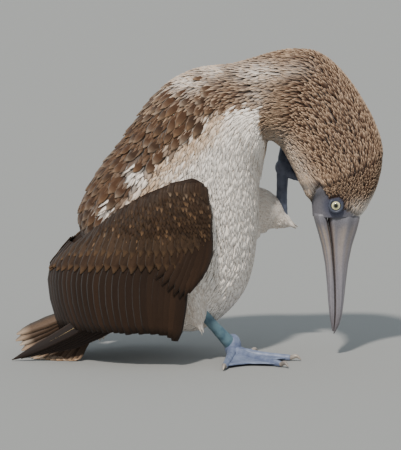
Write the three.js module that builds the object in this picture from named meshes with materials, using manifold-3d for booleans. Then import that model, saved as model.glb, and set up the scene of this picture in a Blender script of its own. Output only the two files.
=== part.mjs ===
// A blue footed booby, life size, standing on its right foot with its neck arched
// down while the raised left foot scratches the side of its throat. Millimetres,
// +Z up, bill side towards +X, the bird's left towards +Y. The origin lies on the
// floor under the toe joint of the standing foot.
import * as THREE from "three";
import { mergeVertices } from "three/addons/utils/BufferGeometryUtils.js";
import Module from "manifold-3d";

const wasm = await Module();
wasm.setup();

// Driving sizes, in the body's own frame: x = 0 at the front edge of the hanging
// wing tips, y = 0 on the midline, z = 0 on the floor.
const GAP = 0.3; // clearance between parts that touch
const TOE_JOINT = [35, -14, 12]; // where the toes of the standing foot meet
const SHANK_TOP = [-3, -46, 58]; // the standing leg's bare top, at the belly
const RAISED_HEEL = [84, 49, 136];
const RAISED_TOE_JOINT = [86, 45, 186];
const EYE = { x: 137.5, side: 17.6, z: 155, radius: 7 };
const BILL_ROOT = 141.6; // height of the bill's base above the floor
const BILL_TIP = 22.5;
const BODY_AROUND = 24;
const FEATHER_THICK = 0.8;
const SMOOTH_TO = 0.25; // detail smaller than this is smoothed away

// The trunk, neck and head as ellipses square to a bent centre line: the centre,
// the way forward in degrees above level, the half depth and the half width.
const BODY = [
  { x: -113, z: 42, tilt: 33, deep: 11, wide: 13 },
  { x: -98, z: 53, tilt: 37, deep: 25, wide: 31 },
  { x: -76, z: 68, tilt: 42, deep: 48, wide: 50 },
  { x: -58, z: 84, tilt: 47.5, deep: 83, wide: 63 },
  { x: -29, z: 123, tilt: 53, deep: 94, wide: 69 },
  { x: -9, z: 171, tilt: 57, deep: 82, wide: 66 },
  { x: 11, z: 222.5, tilt: 49, deep: 67, wide: 57 },
  { x: 30, z: 248.5, tilt: 44, deep: 54, wide: 48 },
  { x: 55, z: 257.5, tilt: 23, deep: 41, wide: 40 },
  { x: 89, z: 261.5, tilt: -9, deep: 48, wide: 38 },
  { x: 108, z: 253, tilt: -22, deep: 52, wide: 39 },
  { x: 129, z: 225.5, tilt: -37, deep: 50.5, wide: 38 },
  { x: 145, z: 191.5, tilt: -54, deep: 46, wide: 35 },
  { x: 146, z: 167, tilt: -76, deep: 35, wide: 27 },
  { x: 139, z: 142, tilt: -90, deep: 25, wide: 18.5 },
];
const LAST = BODY.length - 1;
const NECK_FROM = 6.5; // places along the sections where the parts divide
const HEAD_FROM = 10.7;

// The folded wing hangs round the flank like a cloak. Its level section runs from
// the wrist at the front to the midline of the rump.
const WING_FRONT = 9;
const CLOAK = [
  [0, 0.86],
  [0.14, 0.96],
  [0.34, 1],
  [0.56, 0.96],
  [0.76, 0.78],
  [0.92, 0.46],
  [1, 0.14],
].map(([x, y]) => new THREE.Vector2(x, y));
const WING_BACK = [
  [10, -132],
  [30, -139],
  [60, -147],
  [80, -149],
  [92, -147],
  [105, -139],
  [128, -120],
  [165, -99],
  [200, -79],
];
const WING_HALF_WIDTH = [
  [10, 78],
  [60, 86],
  [100, 89],
  [140, 89],
  [180, 85],
  [205, 79],
];
const WING_TOP = [
  [0, 156],
  [0.03, 174],
  [0.08, 184],
  [0.18, 190],
  [0.34, 186],
  [0.5, 175],
  [0.62, 162],
  [0.74, 144],
  [0.86, 124],
  [1, 104],
];
const WING_CORE_FOOT = [
  [0, 116],
  [0.12, 104],
  [0.5, 98],
  [1, 86],
];

const vec = (p) => new THREE.Vector3(...p);

// A value read off a list of [place, value] pairs, straight between them.
function read(pairs, at) {
  const last = pairs.length - 1;
  if (at <= pairs[0][0]) return pairs[0][1];
  if (at >= pairs[last][0]) return pairs[last][1];
  const i = pairs.findIndex(([place]) => place > at);
  const [a, va] = pairs[i - 1];
  const [b, vb] = pairs[i];
  return va + ((vb - va) * (at - a)) / (b - a);
}

// The same small unevenness each time, from -1 to 1.
function uneven(seed) {
  const wave = Math.sin(seed * 127.1 + 11.7) * 43758.5453;
  return 2 * (wave - Math.floor(wave)) - 1;
}

// A closed geometry as a solid with its faces pointing out.
function solid(geometry) {
  const bare = geometry.clone();
  bare.deleteAttribute("normal");
  bare.deleteAttribute("uv");
  const merged = mergeVertices(bare, 1e-4);
  const corners = [];
  const index = merged.index.array;
  for (let i = 0; i < index.length; i += 3) {
    const [a, b, c] = [index[i], index[i + 1], index[i + 2]];
    if (a !== b && b !== c && c !== a) corners.push([a, b, c]);
  }
  const build = (list) =>
    new wasm.Manifold(
      new wasm.Mesh({
        numProp: 3,
        vertProperties: new Float32Array(merged.attributes.position.array),
        triVerts: new Uint32Array(list.flat()),
      }),
    );
  const made = build(corners);
  return made.volume() > 0 ? made : build(corners.map((t) => t.reverse()));
}

// A closed tube. place(u, angle, r) gives the point at u along and angle round; r is
// 1 on the wall and 0 at the middle of an end.
function tube(along, around, place) {
  const geometry = new THREE.CylinderGeometry(1, 1, 1, around, along);
  const p = geometry.attributes.position;
  for (let i = 0; i < p.count; i++) {
    const row = Math.round((0.5 - p.getY(i)) * along);
    const r = Math.round(Math.hypot(p.getX(i), p.getZ(i)));
    const turn = Math.atan2(p.getX(i), p.getZ(i)) / (2 * Math.PI);
    const column = r ? (Math.round(turn * around) + around) % around : 0;
    const q = place(row / along, (column / around) * 2 * Math.PI, r);
    p.setXYZ(i, q.x, q.y, q.z);
  }
  return solid(geometry);
}

// A thin closed sheet, split alike on both faces. at(u, v) is its middle face.
function sheet(across, along, at, thick) {
  const points = [];
  const step = 1e-3;
  const half = [];
  for (let j = 0; j <= along; j++)
    for (let i = 0; i <= across; i++) {
      const [u, v] = [i / across, j / along];
      const [u0, u1] = [Math.max(0, u - step), Math.min(1, u + step)];
      const [v0, v1] = [Math.max(0, v - step), Math.min(1, v + step)];
      const du = at(u1, v).sub(at(u0, v));
      const dv = at(u, v1).sub(at(u, v0));
      const normal = du.cross(dv).normalize();
      points.push(at(u, v));
      half.push(normal.multiplyScalar(thick(u, v) / 2));
    }
  const count = points.length;
  const top = points.map((p, i) => p.clone().add(half[i]));
  const under = points.map((p, i) => p.clone().sub(half[i]));
  const corners = [];
  const cell = (i, j) => j * (across + 1) + i;
  for (let j = 0; j < along; j++)
    for (let i = 0; i < across; i++) {
      const [a, b] = [cell(i, j), cell(i + 1, j)];
      const [c, d] = [cell(i, j + 1), cell(i + 1, j + 1)];
      corners.push(a, b, c, b, d, c);
      corners.push(count + a, count + c, count + b);
      corners.push(count + b, count + c, count + d);
    }
  const wall = (a, b) =>
    corners.push(a, count + a, b, b, count + a, count + b);
  for (let i = 0; i < across; i++) {
    wall(cell(i, 0), cell(i + 1, 0));
    wall(cell(i + 1, along), cell(i, along));
  }
  for (let j = 0; j < along; j++) {
    wall(cell(0, j + 1), cell(0, j));
    wall(cell(across, j), cell(across, j + 1));
  }
  const geometry = new THREE.BufferGeometry();
  geometry.setFromPoints([...top, ...under]);
  geometry.setIndex(corners);
  return solid(geometry);
}

// Width of a feather along its length as a share of its widest, blunt at the tip.
const BLUNT = [
  [0, 0.55],
  [0.3, 0.9],
  [0.65, 1],
  [0.88, 0.8],
  [1, 0.3],
];
const POINTED = [
  [0, 0.7],
  [0.35, 1],
  [0.6, 0.9],
  [0.85, 0.5],
  [1, 0.12],
];

// One feather vane. path(v) is its shaft, lie(v) the normal of what it lies on; it
// is rolled about its shaft, so that each one of a row slips under the next.
function vane(path, lie, size) {
  const { width, roll, across = 2, rows = 5, shape = BLUNT, thick = FEATHER_THICK } = size;
  const crown = width * 0.035;
  const at = (u, v) => {
    const back = path(Math.max(0, v - 0.02));
    const run = path(Math.min(1, v + 0.02)).sub(back).normalize();
    const side = new THREE.Vector3().crossVectors(lie(v), run).normalize();
    const up = new THREE.Vector3().crossVectors(run, side);
    const slant = side.clone().multiplyScalar(Math.cos(roll));
    slant.addScaledVector(up, Math.sin(roll));
    const off = 2 * u - 1;
    const q = path(v).addScaledVector(slant, (off * width * read(shape, v)) / 2);
    return q.addScaledVector(up, crown * (1 - off * off));
  };
  return sheet(across, rows, at, (u, v) => thick * (v > 0.99 ? 0.7 : 1));
}

const unite = (list) => wasm.Manifold.union(list);

// The largest closed body of a solid.
function main(body) {
  const found = body.decompose().sort((a, b) => b.volume() - a.volume());
  return found[0];
}

// The outer shell alone, as corners: unions of thin sheets can leave closed pockets.
function shell(mesh) {
  const parent = Int32Array.from({ length: mesh.numVert }, (_, i) => i);
  const find = (i) => {
    while (parent[i] !== i) i = parent[i] = parent[parent[i]];
    return i;
  };
  const corners = Array.from(mesh.triVerts);
  for (let i = 0; i < corners.length; i += 3) {
    parent[find(corners[i])] = find(corners[i + 1]);
    parent[find(corners[i + 1])] = find(corners[i + 2]);
  }
  const share = new Map();
  for (const corner of corners) share.set(find(corner), (share.get(find(corner)) ?? 0) + 1);
  const largest = [...share].sort((a, b) => b[1] - a[1])[0][0];
  return corners.filter((corner) => find(corner) === largest);
}

// The room that a body takes up with the gap round it, to cut its neighbours clear.
function roomOf(geometry) {
  const wide = geometry.clone();
  const [p, n] = [wide.attributes.position, wide.attributes.normal];
  const room = GAP * 1.3;
  for (let i = 0; i < p.count; i++)
    p.setXYZ(i, p.getX(i) + room * n.getX(i), p.getY(i) + room * n.getY(i), p.getZ(i) + room * n.getZ(i));
  const shifts = [-room, 0, room].map((y) => solid(geometry.clone().translate(0, y, 0)));
  return unite([solid(wide), ...shifts]);
}

const bodies = [];
const rooms = [];
function node(name, body, look) {
  let clear = body.simplify(SMOOTH_TO);
  for (const room of rooms) if (meets(clear, room)) clear = clear.subtract(room);
  const mesh = main(clear).simplify(SMOOTH_TO / 5).getMesh();
  const geometry = new THREE.BufferGeometry();
  const stride = mesh.numProp;
  const place = new Float32Array((mesh.vertProperties.length / stride) * 3);
  for (let i = 0; i < place.length / 3; i++)
    place.set(mesh.vertProperties.subarray(i * stride, i * stride + 3), i * 3);
  geometry.setAttribute("position", new THREE.BufferAttribute(place, 3));
  geometry.setIndex(shell(mesh));
  geometry.computeVertexNormals();
  const made = new THREE.Mesh(geometry, look);
  made.name = name;
  bodies.push(made);
  rooms.push(roomOf(geometry));
}
function meets(a, b) {
  const [boxA, boxB] = [a.boundingBox(), b.boundingBox()];
  return [0, 1, 2].every((i) => boxA.min[i] < boxB.max[i] && boxB.min[i] < boxA.max[i]);
}

const finish = (color, roughness) =>
  new THREE.MeshStandardMaterial({ color, roughness, metalness: 0 });
const LOOKS = {
  white: finish("#d8cdc2", 0.85),
  streaked: finish("#8a6a4c", 0.85),
  brown: finish("#43301f", 0.8),
  skin: finish("#6d83a0", 0.55),
  bill: finish("#8c8f9b", 0.45),
  claw: finish("#8a7c70", 0.4),
  eye: finish("#d9d7a0", 0.1),
};

// Everything under the floor, cut away so that soles and feather tips lie flat.
const FLOOR_REACH = 800;
const underFloor = solid(
  new THREE.BoxGeometry(FLOOR_REACH, FLOOR_REACH, FLOOR_REACH).translate(0, 0, -FLOOR_REACH / 2),
);

// The trunk, neck and head.
const centreLine = new THREE.CatmullRomCurve3(
  BODY.map(({ x, z, tilt }) => new THREE.Vector3(x, tilt, z)),
);
const girth = new THREE.CatmullRomCurve3(
  BODY.map(({ deep, wide }) => new THREE.Vector3(deep, wide, 0)),
);

// A point on the plumage: along from 0 at the tail to 1 at the bill, angle 0 on the
// back, a quarter turn on the left and half a turn on the breast.
function onBody(along, angle, grow = 0, r = 1) {
  const c = centreLine.getPoint(along);
  const g = girth.getPoint(along);
  const tilt = THREE.MathUtils.degToRad(c.y);
  const deep = (g.x + grow) * Math.cos(angle) * r;
  const wide = (g.y + grow) * Math.sin(angle) * r;
  return new THREE.Vector3(
    c.x - Math.sin(tilt) * deep,
    wide,
    c.z + Math.cos(tilt) * deep,
  );
}

function bodyLength(from, to, rows, grow = 0) {
  return tube(rows, BODY_AROUND, (u, angle, r) =>
    onBody((from + (to - from) * u) / LAST, angle, grow, r),
  );
}

const CUT = 0.018; // a thin cut between two lengths of the body, in sections
const torsoCore = bodyLength(0, NECK_FROM, 12);
const torsoRoom = bodyLength(0, NECK_FROM + CUT, 12, GAP);
const neckCore = bodyLength(NECK_FROM + CUT, HEAD_FROM, 8);
const headCore = bodyLength(HEAD_FROM + CUT, LAST, 8);
const neckRoom = bodyLength(NECK_FROM, HEAD_FROM + CUT, 8, GAP);
const headRoom = bodyLength(HEAD_FROM, LAST, 8, GAP);

// Long feathers of the shoulders lie down the back towards the wing.
const SHOULDER_ROWS = [
  { along: 4.75, first: 0.42, count: 4, long: 0.85, width: 21 },
  { along: 4.05, first: 0.36, count: 4, long: 0.9, width: 22 },
];
function shoulderFeathers(side) {
  const made = [];
  for (const [r, row] of SHOULDER_ROWS.entries())
    for (let i = 0; i < row.count; i++) {
      const angle = side * (row.first + i * 0.25 - 0.2);
      const start = row.along + 0.1 * uneven(r * 7 + i);
      const spot = (v, grow) => onBody((start - row.long * v) / LAST, angle, grow);
      const height = (v) => -2.2 + 5.2 * v;
      const path = (v) => spot(v, height(v));
      const lie = (v) => spot(v, 10).sub(spot(v, 0)).normalize();
      made.push(vane(path, lie, { width: row.width, roll: side * 0.12, rows: 3, thick: 0.9 }));
    }
  return made;
}

// The wing's outer face: s from 0 at the wrist to 1 on the rump, at a height z.
const cloakLine = new THREE.SplineCurve(CLOAK);
function cloak(s, z, out = 0) {
  const flat = cloakLine.getPoint(s);
  const x = WING_FRONT + (read(WING_BACK, z) - WING_FRONT) * flat.x;
  const y = read(WING_HALF_WIDTH, z) * flat.y;
  const point = new THREE.Vector3(x, y, z);
  return out ? point.addScaledVector(cloakNormal(s, z), out) : point;
}
function cloakNormal(s, z) {
  const step = 0.01;
  const ahead = cloak(Math.max(0, s - step), z);
  const behind = cloak(Math.min(1, s + step), z);
  const level = behind.sub(ahead).setZ(0).normalize();
  return new THREE.Vector3(level.y, -level.x, 0);
}

// How far the arm of the wing stands out over the flight feathers' roots.
const coreRise = (z) => 6 * THREE.MathUtils.smoothstep(z, 96, 165);

function wingCore() {
  const at = (u, v) => {
    const s = 0.985 * u;
    const [low, high] = [read(WING_CORE_FOOT, s), read(WING_TOP, s)];
    const z = low + (high - low) * v;
    return cloak(s, z, coreRise(z) - thick(u, v) / 2);
  };
  const thick = (u, v) => {
    const rim = Math.sin(Math.PI * Math.min(1, 0.06 + 0.94 * v)) ** 0.5;
    const inward = u > 0.8 ? 1 - (u - 0.8) * 3 : 1;
    return 4 + 22 * rim * inward * Math.min(1, 0.35 + 3 * u);
  };
  return sheet(12, 5, at, thick);
}

// A row of feathers on the wing, from the front to the back.
function wingRow({ count, from, to, root, tip, sweep, out, width, across, rows, seed }) {
  const made = [];
  for (let i = 0; i < count; i++) {
    const share = i / (count - 1);
    const s = from + (to - from) * share;
    const [z0, z1] = [root(s), tip(s) + 1.6 * uneven(seed + i)];
    const rise = coreRise(z0) - 1.3;
    const path = (v) =>
      cloak(s - sweep(s) * v * v, z0 + (z1 - z0) * v, rise + (out - rise) * v);
    const lie = (v) => cloakNormal(s - sweep(s) * v * v, z0 + (z1 - z0) * v);
    made.push(vane(path, lie, { width, roll: -0.15, across, rows }));
  }
  return made;
}

const WING_ROWS = [
  {
    count: 13, from: 0.2, to: 0.965, seed: 3, width: 20, across: 1, rows: 2, out: 1.4,
    root: () => 118,
    tip: (s) => read([[0.2, 28], [0.26, 34], [0.6, 35], [1, 33]], s),
    sweep: (s) => 0.09 * Math.max(0, s - 0.45) - 0.35 * Math.max(0, 0.36 - s),
  },
  {
    count: 11, from: 0.17, to: 0.96, seed: 31, width: 21, across: 1, rows: 2, out: 3.4,
    root: () => 140,
    tip: (s) => 104 - 12 * s,
    sweep: () => 0.02,
  },
  {
    count: 8, from: 0.16, to: 0.72, seed: 57, width: 19, across: 1, rows: 2, out: 5.6,
    root: (s) => read(WING_TOP, s) - 24,
    tip: (s) => 132 - 16 * s,
    sweep: () => 0.01,
  },
];

// The feathers over the hand fan from the wrist down the wing's front edge.
const HAND_TIPS = [
  [-7, 90],
  [-14, 78],
  [-33, 70],
  [-44, 78],
];
function handFeathers() {
  return HAND_TIPS.map(([tipX, tipZ], i) => {
    const [s0, z0] = [0.05 + 0.025 * i, 146];
    const s1 = (WING_FRONT - tipX) / (WING_FRONT - read(WING_BACK, tipZ));
    const [out0, out1] = [coreRise(z0) - 2, 5.4 - 0.5 * i];
    const bow = (v) => 0.05 * Math.sin(Math.PI * v) * (1 - i / 5);
    const at = (v) => [s0 + (s1 - s0) * v - bow(v), z0 + (tipZ - z0) * v];
    const path = (v) => cloak(...at(v), out0 + (out1 - out0) * v);
    const lie = (v) => cloakNormal(...at(v));
    return vane(path, lie, { width: 13, roll: -0.12, rows: 3 });
  });
}

// The long outer flight feathers lie under the hanging ones, straight to the tail.
const FLIGHT_COUNT = 5;
function longFlight({ tip, reach }) {
  const made = [];
  const stem = new THREE.CatmullRomCurve3([
    vec([-4, 72, 106]),
    vec([-30, 71, 92]),
    vec([-64, 68, 72]),
  ]);
  made.push(
    tube(6, 8, (u, angle, r) => {
      const c = stem.getPoint(u);
      const size = 6.5 - 2.8 * u;
      return c.add(
        new THREE.Vector3(
          0.45 * size * Math.cos(angle) * r,
          0.5 * size * Math.sin(angle) * r,
          size * Math.cos(angle) * r,
        ),
      );
    }),
  );
  for (let i = 0; i < FLIGHT_COUNT; i++) {
    const drop = i * 1.1;
    const start = stem.getPoint(0.98 - 0.14 * i).add(vec([0, -drop * 0.25, 0]));
    const end = vec(tip).add(vec([reach * i, 1.2 * i, 2.4 * i]));
    const laid = vec([end.x + 46, end.y + 13, 25 + 3.2 * i]);
    const line = new THREE.CatmullRomCurve3([start, start.clone().lerp(laid, 0.55), laid, end]);
    const path = (v) => {
      const q = line.getPoint(v);
      return q.setZ(Math.max(q.z, 0.25 + 0.9 * i));
    };
    const lie = () => new THREE.Vector3(-0.25, 0.9, 0.35).normalize();
    made.push(vane(path, lie, { width: 15, roll: -0.1, rows: 5, shape: POINTED }));
  }
  return made;
}

const WINGS = [
  { name: "right", side: -1, tip: [-186, 30, 0.2], reach: 13 },
  { name: "left", side: 1, tip: [-152, 26, 0.2], reach: 9 },
];

// The tail feathers fan from the rump, rolled so that the right edge lies low.
const TAIL = { root: [-106, 0, 49], down: 24, roll: 50, count: 10, from: -3, to: 52 };
const TAIL_LENGTH = [
  [0, 84],
  [0.2, 84],
  [0.5, 82],
  [1, 62],
];
function tailFeathers() {
  const drop = THREE.MathUtils.degToRad(TAIL.down);
  const roll = THREE.MathUtils.degToRad(TAIL.roll);
  const back = new THREE.Vector3(-Math.cos(drop), 0, -Math.sin(drop));
  const upper = new THREE.Vector3(-Math.sin(drop), 0, Math.cos(drop));
  const low = new THREE.Vector3(0, -Math.cos(roll), 0).addScaledVector(upper, -Math.sin(roll));
  const face = new THREE.Vector3().crossVectors(low, back).normalize();
  const made = [];
  for (let i = 0; i < TAIL.count; i++) {
    const share = i / (TAIL.count - 1);
    const fan = THREE.MathUtils.degToRad(TAIL.from + (TAIL.to - TAIL.from) * share);
    const run = back.clone().multiplyScalar(Math.cos(fan)).addScaledVector(low, Math.sin(fan));
    const long = read(TAIL_LENGTH, share) + 2 * uneven(90 + i);
    const path = (v) => {
      const q = vec(TAIL.root).addScaledVector(run, -6 + (long + 6) * v);
      q.addScaledVector(low, 9 * (share - 0.4));
      return q.setZ(Math.max(q.z, 0.25));
    };
    made.push(vane(path, () => face, { width: 17, roll: 0.14, rows: 3 }));
  }
  const rump = new THREE.SphereGeometry(1, 14, 8);
  rump.scale(17, 15, 11);
  rump.rotateX(roll * 0.5);
  rump.rotateY(-drop - 0.2);
  rump.translate(...TAIL.root);
  made.push(solid(rump));
  return made;
}

// A tapered round limb along a smooth line through the points.
function limb(points, sizes, rows, around, flat = 1) {
  const line = new THREE.CatmullRomCurve3(points.map(vec));
  const taper = sizes.map((size, i) => [i / (sizes.length - 1), size]);
  return tube(rows, around, (u, angle, r) => {
    const c = line.getPoint(u);
    const run = line.getTangent(u);
    const side = new THREE.Vector3(0, 1, 0.02).cross(run).normalize();
    const other = new THREE.Vector3().crossVectors(run, side);
    const size = read(taper, u) * r;
    c.addScaledVector(side, size * Math.cos(angle));
    return c.addScaledVector(other, size * flat * Math.sin(angle));
  });
}

// Toes as lines from the joint; the web is stretched between each two of them.
function footSolid(toes, web, joint, jointSize) {
  const parts = [solid(new THREE.SphereGeometry(1, 12, 8).scale(...jointSize).translate(...joint))];
  for (const toe of toes) parts.push(limb(toe.line, toe.sizes, 6, 6));
  for (let i = 0; i + 1 < toes.length; i++) {
    const [a, b] = [toes[i], toes[i + 1]].map(({ line }) => new THREE.CatmullRomCurve3(line.map(vec)));
    const at = (u, v) => {
      const pull = 1 - web.scallop * Math.sin(Math.PI * u);
      const reach = 0.06 + 0.88 * v * pull;
      const q = a.getPoint(reach).lerp(b.getPoint(reach), u);
      q.add(vec(web.sag).multiplyScalar(Math.sin(Math.PI * u) * v));
      return q;
    };
    parts.push(sheet(4, 4, at, () => web.thick));
  }
  return unite(parts);
}

// The standing foot, spread flat. Angles run from the bill side, minus to the right.
const STANDING_TOES = [
  { name: "outer", angle: -97, long: 72, size: 4.6 },
  { name: "middle", angle: -50, long: 74, size: 4.8 },
  { name: "inner", angle: -15, long: 60, size: 4.6 },
  { name: "hallux", angle: 52, long: 31, size: 3.8 },
].map((toe) => {
  const turn = THREE.MathUtils.degToRad(toe.angle);
  const spot = (far, high, bow = 0) => [
    TOE_JOINT[0] + far * Math.cos(turn) - bow * Math.sin(turn),
    TOE_JOINT[1] + far * Math.sin(turn) + bow * Math.cos(turn),
    high,
  ];
  const far = toe.long;
  return {
    ...toe,
    line: [spot(0, 9), spot(0.22 * far, 6), spot(0.6 * far, 3.6), spot(far, 2.6)],
    sizes: [6.4, toe.size, 4, 3.6, 3],
    clawTip: spot(far + 10.5, 0.7),
    clawBow: spot(far + 5.5, 4.6),
  };
});

// The raised foot, its toes spread against the left of the throat.
const RAISED_TOES = [
  { name: "outer", line: [[86, 45, 188], [87, 48, 203], [93, 50, 220], [103, 50, 234]] },
  { name: "middle", line: [[87, 45, 188], [97, 48, 201], [113, 50, 213], [133, 48.5, 219]] },
  { name: "inner", line: [[87, 45, 186], [97, 46, 190], [111, 46.5, 195], [124, 46, 197]] },
  { name: "hallux", line: [[87, 45, 184], [94, 45, 179], [102, 44, 176], [109, 42, 175]] },
].map((toe) => {
  const [before, end] = toe.line.slice(-2).map(vec);
  const run = end.clone().sub(before).normalize();
  const inward = new THREE.Vector3(0, -1, 0);
  const out = (far, down) => end.clone().addScaledVector(run, far).addScaledVector(inward, down);
  return {
    ...toe,
    sizes: [6, 4.6, 4, 3.4, 2.8],
    clawBow: out(4.5, -0.4).toArray(),
    clawTip: out(8.5, 2.2).toArray(),
  };
});

function claw(toe) {
  const end = toe.line[toe.line.length - 1];
  const start = vec(end).lerp(vec(toe.clawBow), 0.12).toArray();
  return limb([start, toe.clawBow, toe.clawTip], [2.5, 2.1, 0.5], 6, 8);
}

// The bill. At each height: the under side, the line of the mouth, the groove and the
// ridge of the upper half, along x, and the half width.
const BILL = [
  { z: BILL_ROOT, under: 115.6, mouth: 129.4, ridge: 163, half: 17 },
  { z: 128, under: 119.6, mouth: 132, ridge: 159.6, half: 13.6 },
  { z: 112, under: 124, mouth: 134.4, ridge: 154.6, half: 11 },
  { z: 94, under: 127.4, mouth: 136, ridge: 151, half: 9.2 },
  { z: 75, under: 129.4, mouth: 137.2, ridge: 148.7, half: 7.8 },
  { z: 56, under: 130.8, mouth: 137.8, ridge: 146.8, half: 6.4 },
  { z: 42, under: 132.2, mouth: 137.8, ridge: 145, half: 5.2 },
  { z: 32, under: 133.8, mouth: 137.2, ridge: 142.2, half: 3.6 },
  { z: 26, under: 134.9, mouth: 136.6, ridge: 139.2, half: 2.1 },
  { z: BILL_TIP, under: 135.4, mouth: 136.3, ridge: 137, half: 0.7 },
];
const billRead = (key, z) => read([...BILL].reverse().map((b) => [b.z, b[key]]), z);

function billHalf(upper) {
  const clear = upper ? 0.35 : -0.35;
  const top = BILL_ROOT;
  const end = upper ? BILL_TIP : BILL_TIP + 3;
  return tube(16, 16, (u, angle, r) => {
    const z = top + (end - top) * Math.sin((Math.PI / 2) * u);
    const [far, mouth] = [billRead(upper ? "ridge" : "under", z), billRead("mouth", z) + clear];
    const middle = (far + mouth) / 2;
    const reach = (far - mouth) / 2;
    const [c, s] = [Math.cos(angle), Math.sin(angle)];
    const square = c < 0 ? 0.45 : 1;
    const along = Math.sign(c) * Math.abs(c) ** square;
    const groove = upper && c > 0.35 && c < 0.85 ? 0.86 : 1;
    const across = Math.sign(s) * Math.abs(s) ** 0.85 * groove;
    return new THREE.Vector3(
      middle + reach * along * r,
      billRead("half", z) * (upper ? 1 : 0.93) * across * r,
      z,
    );
  });
}

// The lids are a ring round each eye, and the head has a socket under it.
function eyeBall(side) {
  const ball = new THREE.SphereGeometry(EYE.radius, 14, 8);
  ball.translate(EYE.x, side * EYE.side, EYE.z);
  return solid(ball);
}
function lids(side) {
  const ring = new THREE.TorusGeometry(6.5, 1.6, 6, 16);
  ring.rotateX(Math.PI / 2);
  ring.rotateX(side * 0.28);
  ring.translate(EYE.x, side * (EYE.side + 4.6), EYE.z);
  return solid(ring);
}

// The nodes, each cut clear of the ones that it meets.
const torsoFeathers = [...shoulderFeathers(1), ...shoulderFeathers(-1)];
let torso = unite([torsoCore, ...torsoFeathers]);
torso = torso.subtract(neckRoom).subtract(headRoom);
const head = unite([headCore, lids(1), lids(-1)]);

node("eye_right", eyeBall(-1), LOOKS.eye);
node("eye_left", eyeBall(1), LOOKS.eye);
node("torso", torso, LOOKS.white);
node("neck", neckCore, LOOKS.streaked);
node("head", head, LOOKS.streaked);
node("bill_upper", billHalf(true), LOOKS.bill);
node("bill_lower", billHalf(false), LOOKS.bill);

const mirror = (body) => body.mirror([0, 1, 0]);
const plainWing = unite([wingCore(), ...WING_ROWS.flatMap(wingRow), ...handFeathers()]);
for (const { name, side, tip, reach } of WINGS) {
  const wing = side > 0 ? plainWing : mirror(plainWing);
  const flight = unite(longFlight({ tip, reach }));
  const laid = (side > 0 ? flight : mirror(flight)).subtract(underFloor);
  node(`flight_${name}`, laid, LOOKS.brown);
  node(`wing_${name}`, wing, LOOKS.brown);
}
node("tail", unite(tailFeathers()).subtract(underFloor), LOOKS.brown);

// The standing leg and the raised one.
const thighRight = limb([[-24, -34, 92], [-10, -43, 70], [-2, -46, 51]], [30, 22, 11], 8, 14);
const thighLeft = limb([[20, 34, 122], [52, 46, 141], [72, 49, 141], RAISED_HEEL], [34, 27, 20, 8], 9, 14);
const shankRight = limb([SHANK_TOP, [15, -30, 36], TOE_JOINT], [6, 5.2, 7], 8, 12, 0.8);
const shankLeft = limb([RAISED_HEEL, [85, 47, 160], RAISED_TOE_JOINT], [7, 5.4, 6.5], 8, 12, 0.8);
const footRight = footSolid(
  STANDING_TOES, { scallop: 0.16, sag: [0, 0, -0.8], thick: 1.3 }, TOE_JOINT, [8.5, 8.5, 12.5],
);
const footLeft = footSolid(
  RAISED_TOES, { scallop: 0.2, sag: [0, 2.5, 0], thick: 1.3 }, RAISED_TOE_JOINT, [8, 7, 9],
);
node("shank_right", shankRight, LOOKS.skin);
node("shank_left", shankLeft, LOOKS.skin);
node("thigh_right", thighRight, LOOKS.white);
node("thigh_left", thighLeft, LOOKS.white);
for (const [name, foot, toes] of [
  ["right", footRight, STANDING_TOES],
  ["left", footLeft, RAISED_TOES],
]) {
  for (const toe of toes) node(`claw_${name}_${toe.name}`, claw(toe).subtract(underFloor), LOOKS.claw);
  node(`foot_${name}`, foot.subtract(underFloor), LOOKS.skin);
}

const booby = new THREE.Group();
booby.position.set(-TOE_JOINT[0], -TOE_JOINT[1], 0);
booby.add(...bodies);

export default booby;
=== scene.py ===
import math
import random

import bpy
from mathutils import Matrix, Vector


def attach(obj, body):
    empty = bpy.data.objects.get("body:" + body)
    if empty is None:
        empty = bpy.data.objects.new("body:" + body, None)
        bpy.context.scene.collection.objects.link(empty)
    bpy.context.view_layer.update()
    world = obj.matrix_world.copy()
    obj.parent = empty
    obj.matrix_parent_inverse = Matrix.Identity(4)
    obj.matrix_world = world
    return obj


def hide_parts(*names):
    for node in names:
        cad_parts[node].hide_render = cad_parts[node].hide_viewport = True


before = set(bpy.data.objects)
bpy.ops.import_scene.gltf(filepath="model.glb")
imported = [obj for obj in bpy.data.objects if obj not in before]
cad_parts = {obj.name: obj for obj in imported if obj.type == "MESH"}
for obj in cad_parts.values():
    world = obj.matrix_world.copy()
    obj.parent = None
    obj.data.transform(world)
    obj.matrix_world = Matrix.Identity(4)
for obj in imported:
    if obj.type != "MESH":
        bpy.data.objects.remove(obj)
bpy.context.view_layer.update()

# A blue footed booby. Lengths in millimetres here, turned to metres in mesh_piece.
# The frame's origin lies under the toe joint of the standing foot, +X to the bill,
# +Y to the bird's left.
MM = 0.001
ORIGIN = Vector((35, -14, 0))  # the toe joint, in the body's own frame
random.seed(7)

# The trunk, neck and head: centre x and z, tilt in degrees, half depth, half width.
BODY = [
    (-113, 42, 33, 11, 13), (-98, 53, 37, 25, 31), (-76, 68, 42, 48, 50),
    (-58, 84, 47.5, 83, 63), (-29, 123, 53, 94, 69), (-9, 171, 57, 82, 66),
    (11, 222.5, 49, 67, 57), (30, 248.5, 44, 54, 48), (55, 257.5, 23, 41, 40),
    (89, 261.5, -9, 48, 38), (108, 253, -22, 52, 39), (129, 225.5, -37, 50.5, 38),
    (145, 191.5, -54, 46, 35), (146, 167, -76, 35, 27), (139, 142, -90, 25, 18.5),
]
LAST = len(BODY) - 1
# How far the skin lies inside the plumage: on the back, on the head, under the down.
SKIN_DEPTH, HEAD_DEPTH, DOWN_DEPTH = 2.6, 1.0, 0.9


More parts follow.
